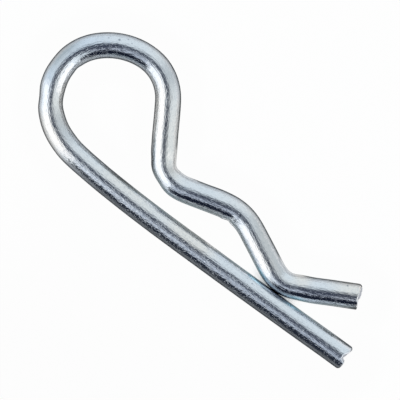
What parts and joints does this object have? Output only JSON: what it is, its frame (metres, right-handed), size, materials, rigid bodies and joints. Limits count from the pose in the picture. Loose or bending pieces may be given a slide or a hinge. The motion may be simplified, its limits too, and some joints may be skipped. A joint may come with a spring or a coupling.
{
  "type": "hitch pin r clip",
  "caption": "Bent spring wire R clip: its straight leg goes through a shaft's cross hole and its bent leg springs over the shaft to retain it.",
  "frame": {"origin": "the point where the axis of the shaft that the clip retains crosses the axis of the straight leg, in the wire's middle plane", "axes": "+X along the straight leg towards its cut end, +Y from the straight leg towards the bent leg, +Z along the shaft's axis, up from the surface that the clip lies flat on"},
  "size_m": [0.0752, 0.0279, 0.0048],
  "materials": {
    "zinc_plated_steel": "bright zinc plate on drawn spring wire"
  },
  "bodies": {
    "root": {"clip": "zinc_plated_steel"}
  },
  "joints": []
}
